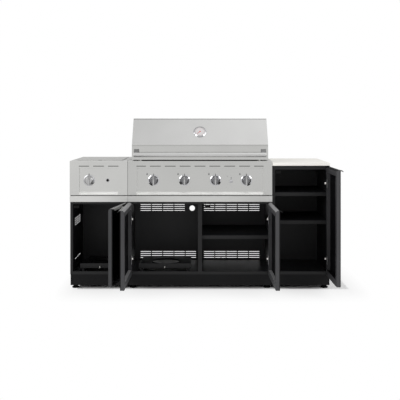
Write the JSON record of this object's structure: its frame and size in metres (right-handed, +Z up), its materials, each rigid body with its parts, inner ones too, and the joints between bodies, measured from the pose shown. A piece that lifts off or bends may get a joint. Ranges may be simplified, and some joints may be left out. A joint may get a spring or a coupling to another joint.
{
  "type": "modular outdoor kitchen",
  "caption": "Outdoor kitchen of a side-burner cabinet, a hooded gas grill cabinet and a storage cabinet with a stone top, in stainless and black coated steel with framed doors.",
  "frame": {"origin": "middle of the kitchen's box on the floor, with the doors open as in the picture", "axes": "+X to the right along the row of cabinets, seen from the front; +Y to the rear; +Z up"},
  "size_m": [1.8536, 1.1266, 1.2],
  "materials": {
    "stainless": "brushed stainless sheet",
    "coated_steel": "satin powder coat, near black",
    "door_glass": "back-painted gloss black glass",
    "door_metal": "dark satin anodised",
    "nickel": "nickel plated",
    "chrome": "polished chrome plate",
    "knob_metal": "satin cast alloy",
    "valve_steel": "turned steel",
    "valve_brass": "machined brass",
    "cast_iron": "matt black enamel",
    "quartz": "polished white quartz composite",
    "black_plastic": "moulded black",
    "rubber": "soft grey",
    "needle_red": "painted"
  },
  "bodies": {
    "frame": {"cabinet_side_panels": "coated_steel", "cabinet_floors": "coated_steel", "cabinet_backs": "coated_steel", "grill_cabinet_divider": "coated_steel", "shelves": "coated_steel", "face_frames": "coated_steel", "plinths": "coated_steel", "levelling_feet": "black_plastic", "module_link_bolts": "nickel", "quartz_slab": "quartz", "door_hinge_arms": "nickel", "hinge_pins": "nickel", "door_catches": "black_plastic", "tray_runners": "coated_steel", "side_burner_control_panel": "stainless", "side_burner_body": "stainless", "side_burner_deck": "stainless", "side_burner_bowl": "stainless", "side_burner_head": "cast_iron", "side_burner_pan_support": "cast_iron", "grill_control_panel": "stainless", "grill_body": "stainless", "grill_top_deck": "stainless", "firebox": "stainless", "cooking_grates": "cast_iron", "flame_tamers": "stainless", "burner_tubes": "stainless", "gas_manifold": "valve_brass", "control_bezels": "chrome", "hood_bumpers": "rubber"},
    "left_door": {"left_door_panel": "door_glass", "left_door_frame": "door_metal"},
    "grill_left_door": {"grill_left_door_panel": "door_glass", "grill_left_door_frame": "door_metal"},
    "grill_right_door": {"grill_right_door_panel": "door_glass", "grill_right_door_frame": "door_metal"},
    "storage_door": {"storage_door_panel": "door_glass", "storage_door_frame": "door_metal"},
    "hood": {"hood_shell": "stainless", "hood_handle_bar": "stainless", "hood_handle_brackets": "chrome", "thermometer": "chrome"},
    "needle": {"thermometer_needle": "needle_red"},
    "burner_lid": {"side_burner_lid": "stainless"},
    "grease_drawer": {"grease_tray": "stainless"},
    "left_cylinder_drawer": {"left_cylinder_tray": "coated_steel"},
    "grill_cylinder_drawer": {"grill_cylinder_tray": "coated_steel"},
    "main_igniter": {"main_igniter_button": "chrome"},
    "side_igniter": {"side_igniter_button": "black_plastic"},
    "side_stem": {"side_valve_stem": "valve_steel"},
    "side_knob": {"side_knob": "knob_metal"},
    "burner_1_stem": {"valve_stem_1": "valve_steel"},
    "burner_1_knob": {"knob_1": "knob_metal"},
    "burner_2_stem": {"valve_stem_2": "valve_steel"},
    "burner_2_knob": {"knob_2": "knob_metal"},
    "burner_3_stem": {"valve_stem_3": "valve_steel"},
    "burner_3_knob": {"knob_3": "knob_metal"},
    "burner_4_stem": {"valve_stem_4": "valve_steel"},
    "burner_4_knob": {"knob_4": "knob_metal"}
  },
  "joints": [
    {"name": "left_door_hinge", "type": "hinge", "parent": "frame", "child": "left_door", "pos_m": [-0.53059, -0.06668, 0.208], "axis": [0, 0, 1], "range_deg": [-81, 0]},
    {"name": "grill_left_door_hinge", "type": "hinge", "parent": "frame", "child": "grill_left_door", "pos_m": [-0.50859, -0.06668, 0.208], "axis": [0, 0, -1], "range_deg": [-90.5, 0]},
    {"name": "grill_right_door_hinge", "type": "hinge", "parent": "frame", "child": "grill_right_door", "pos_m": [0.48741, -0.06668, 0.208], "axis": [0, 0, 1], "range_deg": [-90.5, 0]},
    {"name": "storage_door_hinge", "type": "hinge", "parent": "frame", "child": "storage_door", "pos_m": [0.89541, -0.06668, 0.208], "axis": [0, 0, 1], "range_deg": [-90.5, 0]},
    {"name": "hood_hinge", "type": "hinge", "parent": "frame", "child": "hood", "pos_m": [-0.01059, 0.45332, 0.95], "axis": [-1, 0, 0], "range_deg": [0, 85]},
    {"name": "needle_turn", "type": "hinge", "parent": "hood", "child": "needle", "pos_m": [-0.01059, 0.02426, 1.10861], "axis": [0, 0.7871, -0.6169], "range_deg": [0, 270], "stiffness_Nm_per_rad": 0.002},
    {"name": "burner_lid_hinge", "type": "hinge", "parent": "frame", "child": "burner_lid", "pos_m": [-0.72359, 0.46432, 0.893], "axis": [-1, 0, 0], "range_deg": [0, 95]},
    {"name": "grease_drawer_slide", "type": "slide", "parent": "frame", "child": "grease_drawer", "axis": [0, -1, 0], "range_m": [0, 0.4]},
    {"name": "left_cylinder_drawer_slide", "type": "slide", "parent": "frame", "child": "left_cylinder_drawer", "axis": [0, -1, 0], "range_m": [0, 0.2]},
    {"name": "grill_cylinder_drawer_slide", "type": "slide", "parent": "frame", "child": "grill_cylinder_drawer", "axis": [0, -1, 0], "range_m": [0, 0.35]},
    {"name": "main_igniter_push", "type": "slide", "parent": "frame", "child": "main_igniter", "axis": [0, 1, 0], "range_m": [0, 0.004], "stiffness_N_per_m": 600},
    {"name": "side_igniter_push", "type": "slide", "parent": "frame", "child": "side_igniter", "axis": [0, 1, 0], "range_m": [0, 0.004], "stiffness_N_per_m": 600},
    {"name": "side_valve_turn", "type": "hinge", "parent": "frame", "child": "side_stem", "pos_m": [-0.79259, -0.03468, 0.763], "axis": [0, -1, 0], "range_deg": [0, 135]},
    {"name": "side_knob_push", "type": "slide", "parent": "side_stem", "child": "side_knob", "axis": [0, 1, 0], "range_m": [0, 0.004], "stiffness_N_per_m": 800},
    {"name": "burner_1_valve_turn", "type": "hinge", "parent": "frame", "child": "burner_1_stem", "pos_m": [-0.33759, -0.03468, 0.763], "axis": [0, -1, 0], "range_deg": [0, 135]},
    {"name": "burner_1_knob_push", "type": "slide", "parent": "burner_1_stem", "child": "burner_1_knob", "axis": [0, 1, 0], "range_m": [0, 0.004], "stiffness_N_per_m": 800},
    {"name": "burner_2_valve_turn", "type": "hinge", "parent": "frame", "child": "burner_2_stem", "pos_m": [-0.11959, -0.03468, 0.763], "axis": [0, -1, 0], "range_deg": [0, 135]},
    {"name": "burner_2_knob_push", "type": "slide", "parent": "burner_2_stem", "child": "burner_2_knob", "axis": [0, 1, 0], "range_m": [0, 0.004], "stiffness_N_per_m": 800},
    {"name": "burner_3_valve_turn", "type": "hinge", "parent": "frame", "child": "burner_3_stem", "pos_m": [0.09841, -0.03468, 0.763], "axis": [0, -1, 0], "range_deg": [0, 135]},
    {"name": "burner_3_knob_push", "type": "slide", "parent": "burner_3_stem", "child": "burner_3_knob", "axis": [0, 1, 0], "range_m": [0, 0.004], "stiffness_N_per_m": 800},
    {"name": "burner_4_valve_turn", "type": "hinge", "parent": "frame", "child": "burner_4_stem", "pos_m": [0.31641, -0.03468, 0.763], "axis": [0, -1, 0], "range_deg": [0, 135]},
    {"name": "burner_4_knob_push", "type": "slide", "parent": "burner_4_stem", "child": "burner_4_knob", "axis": [0, 1, 0], "range_m": [0, 0.004], "stiffness_N_per_m": 800}
  ]
}
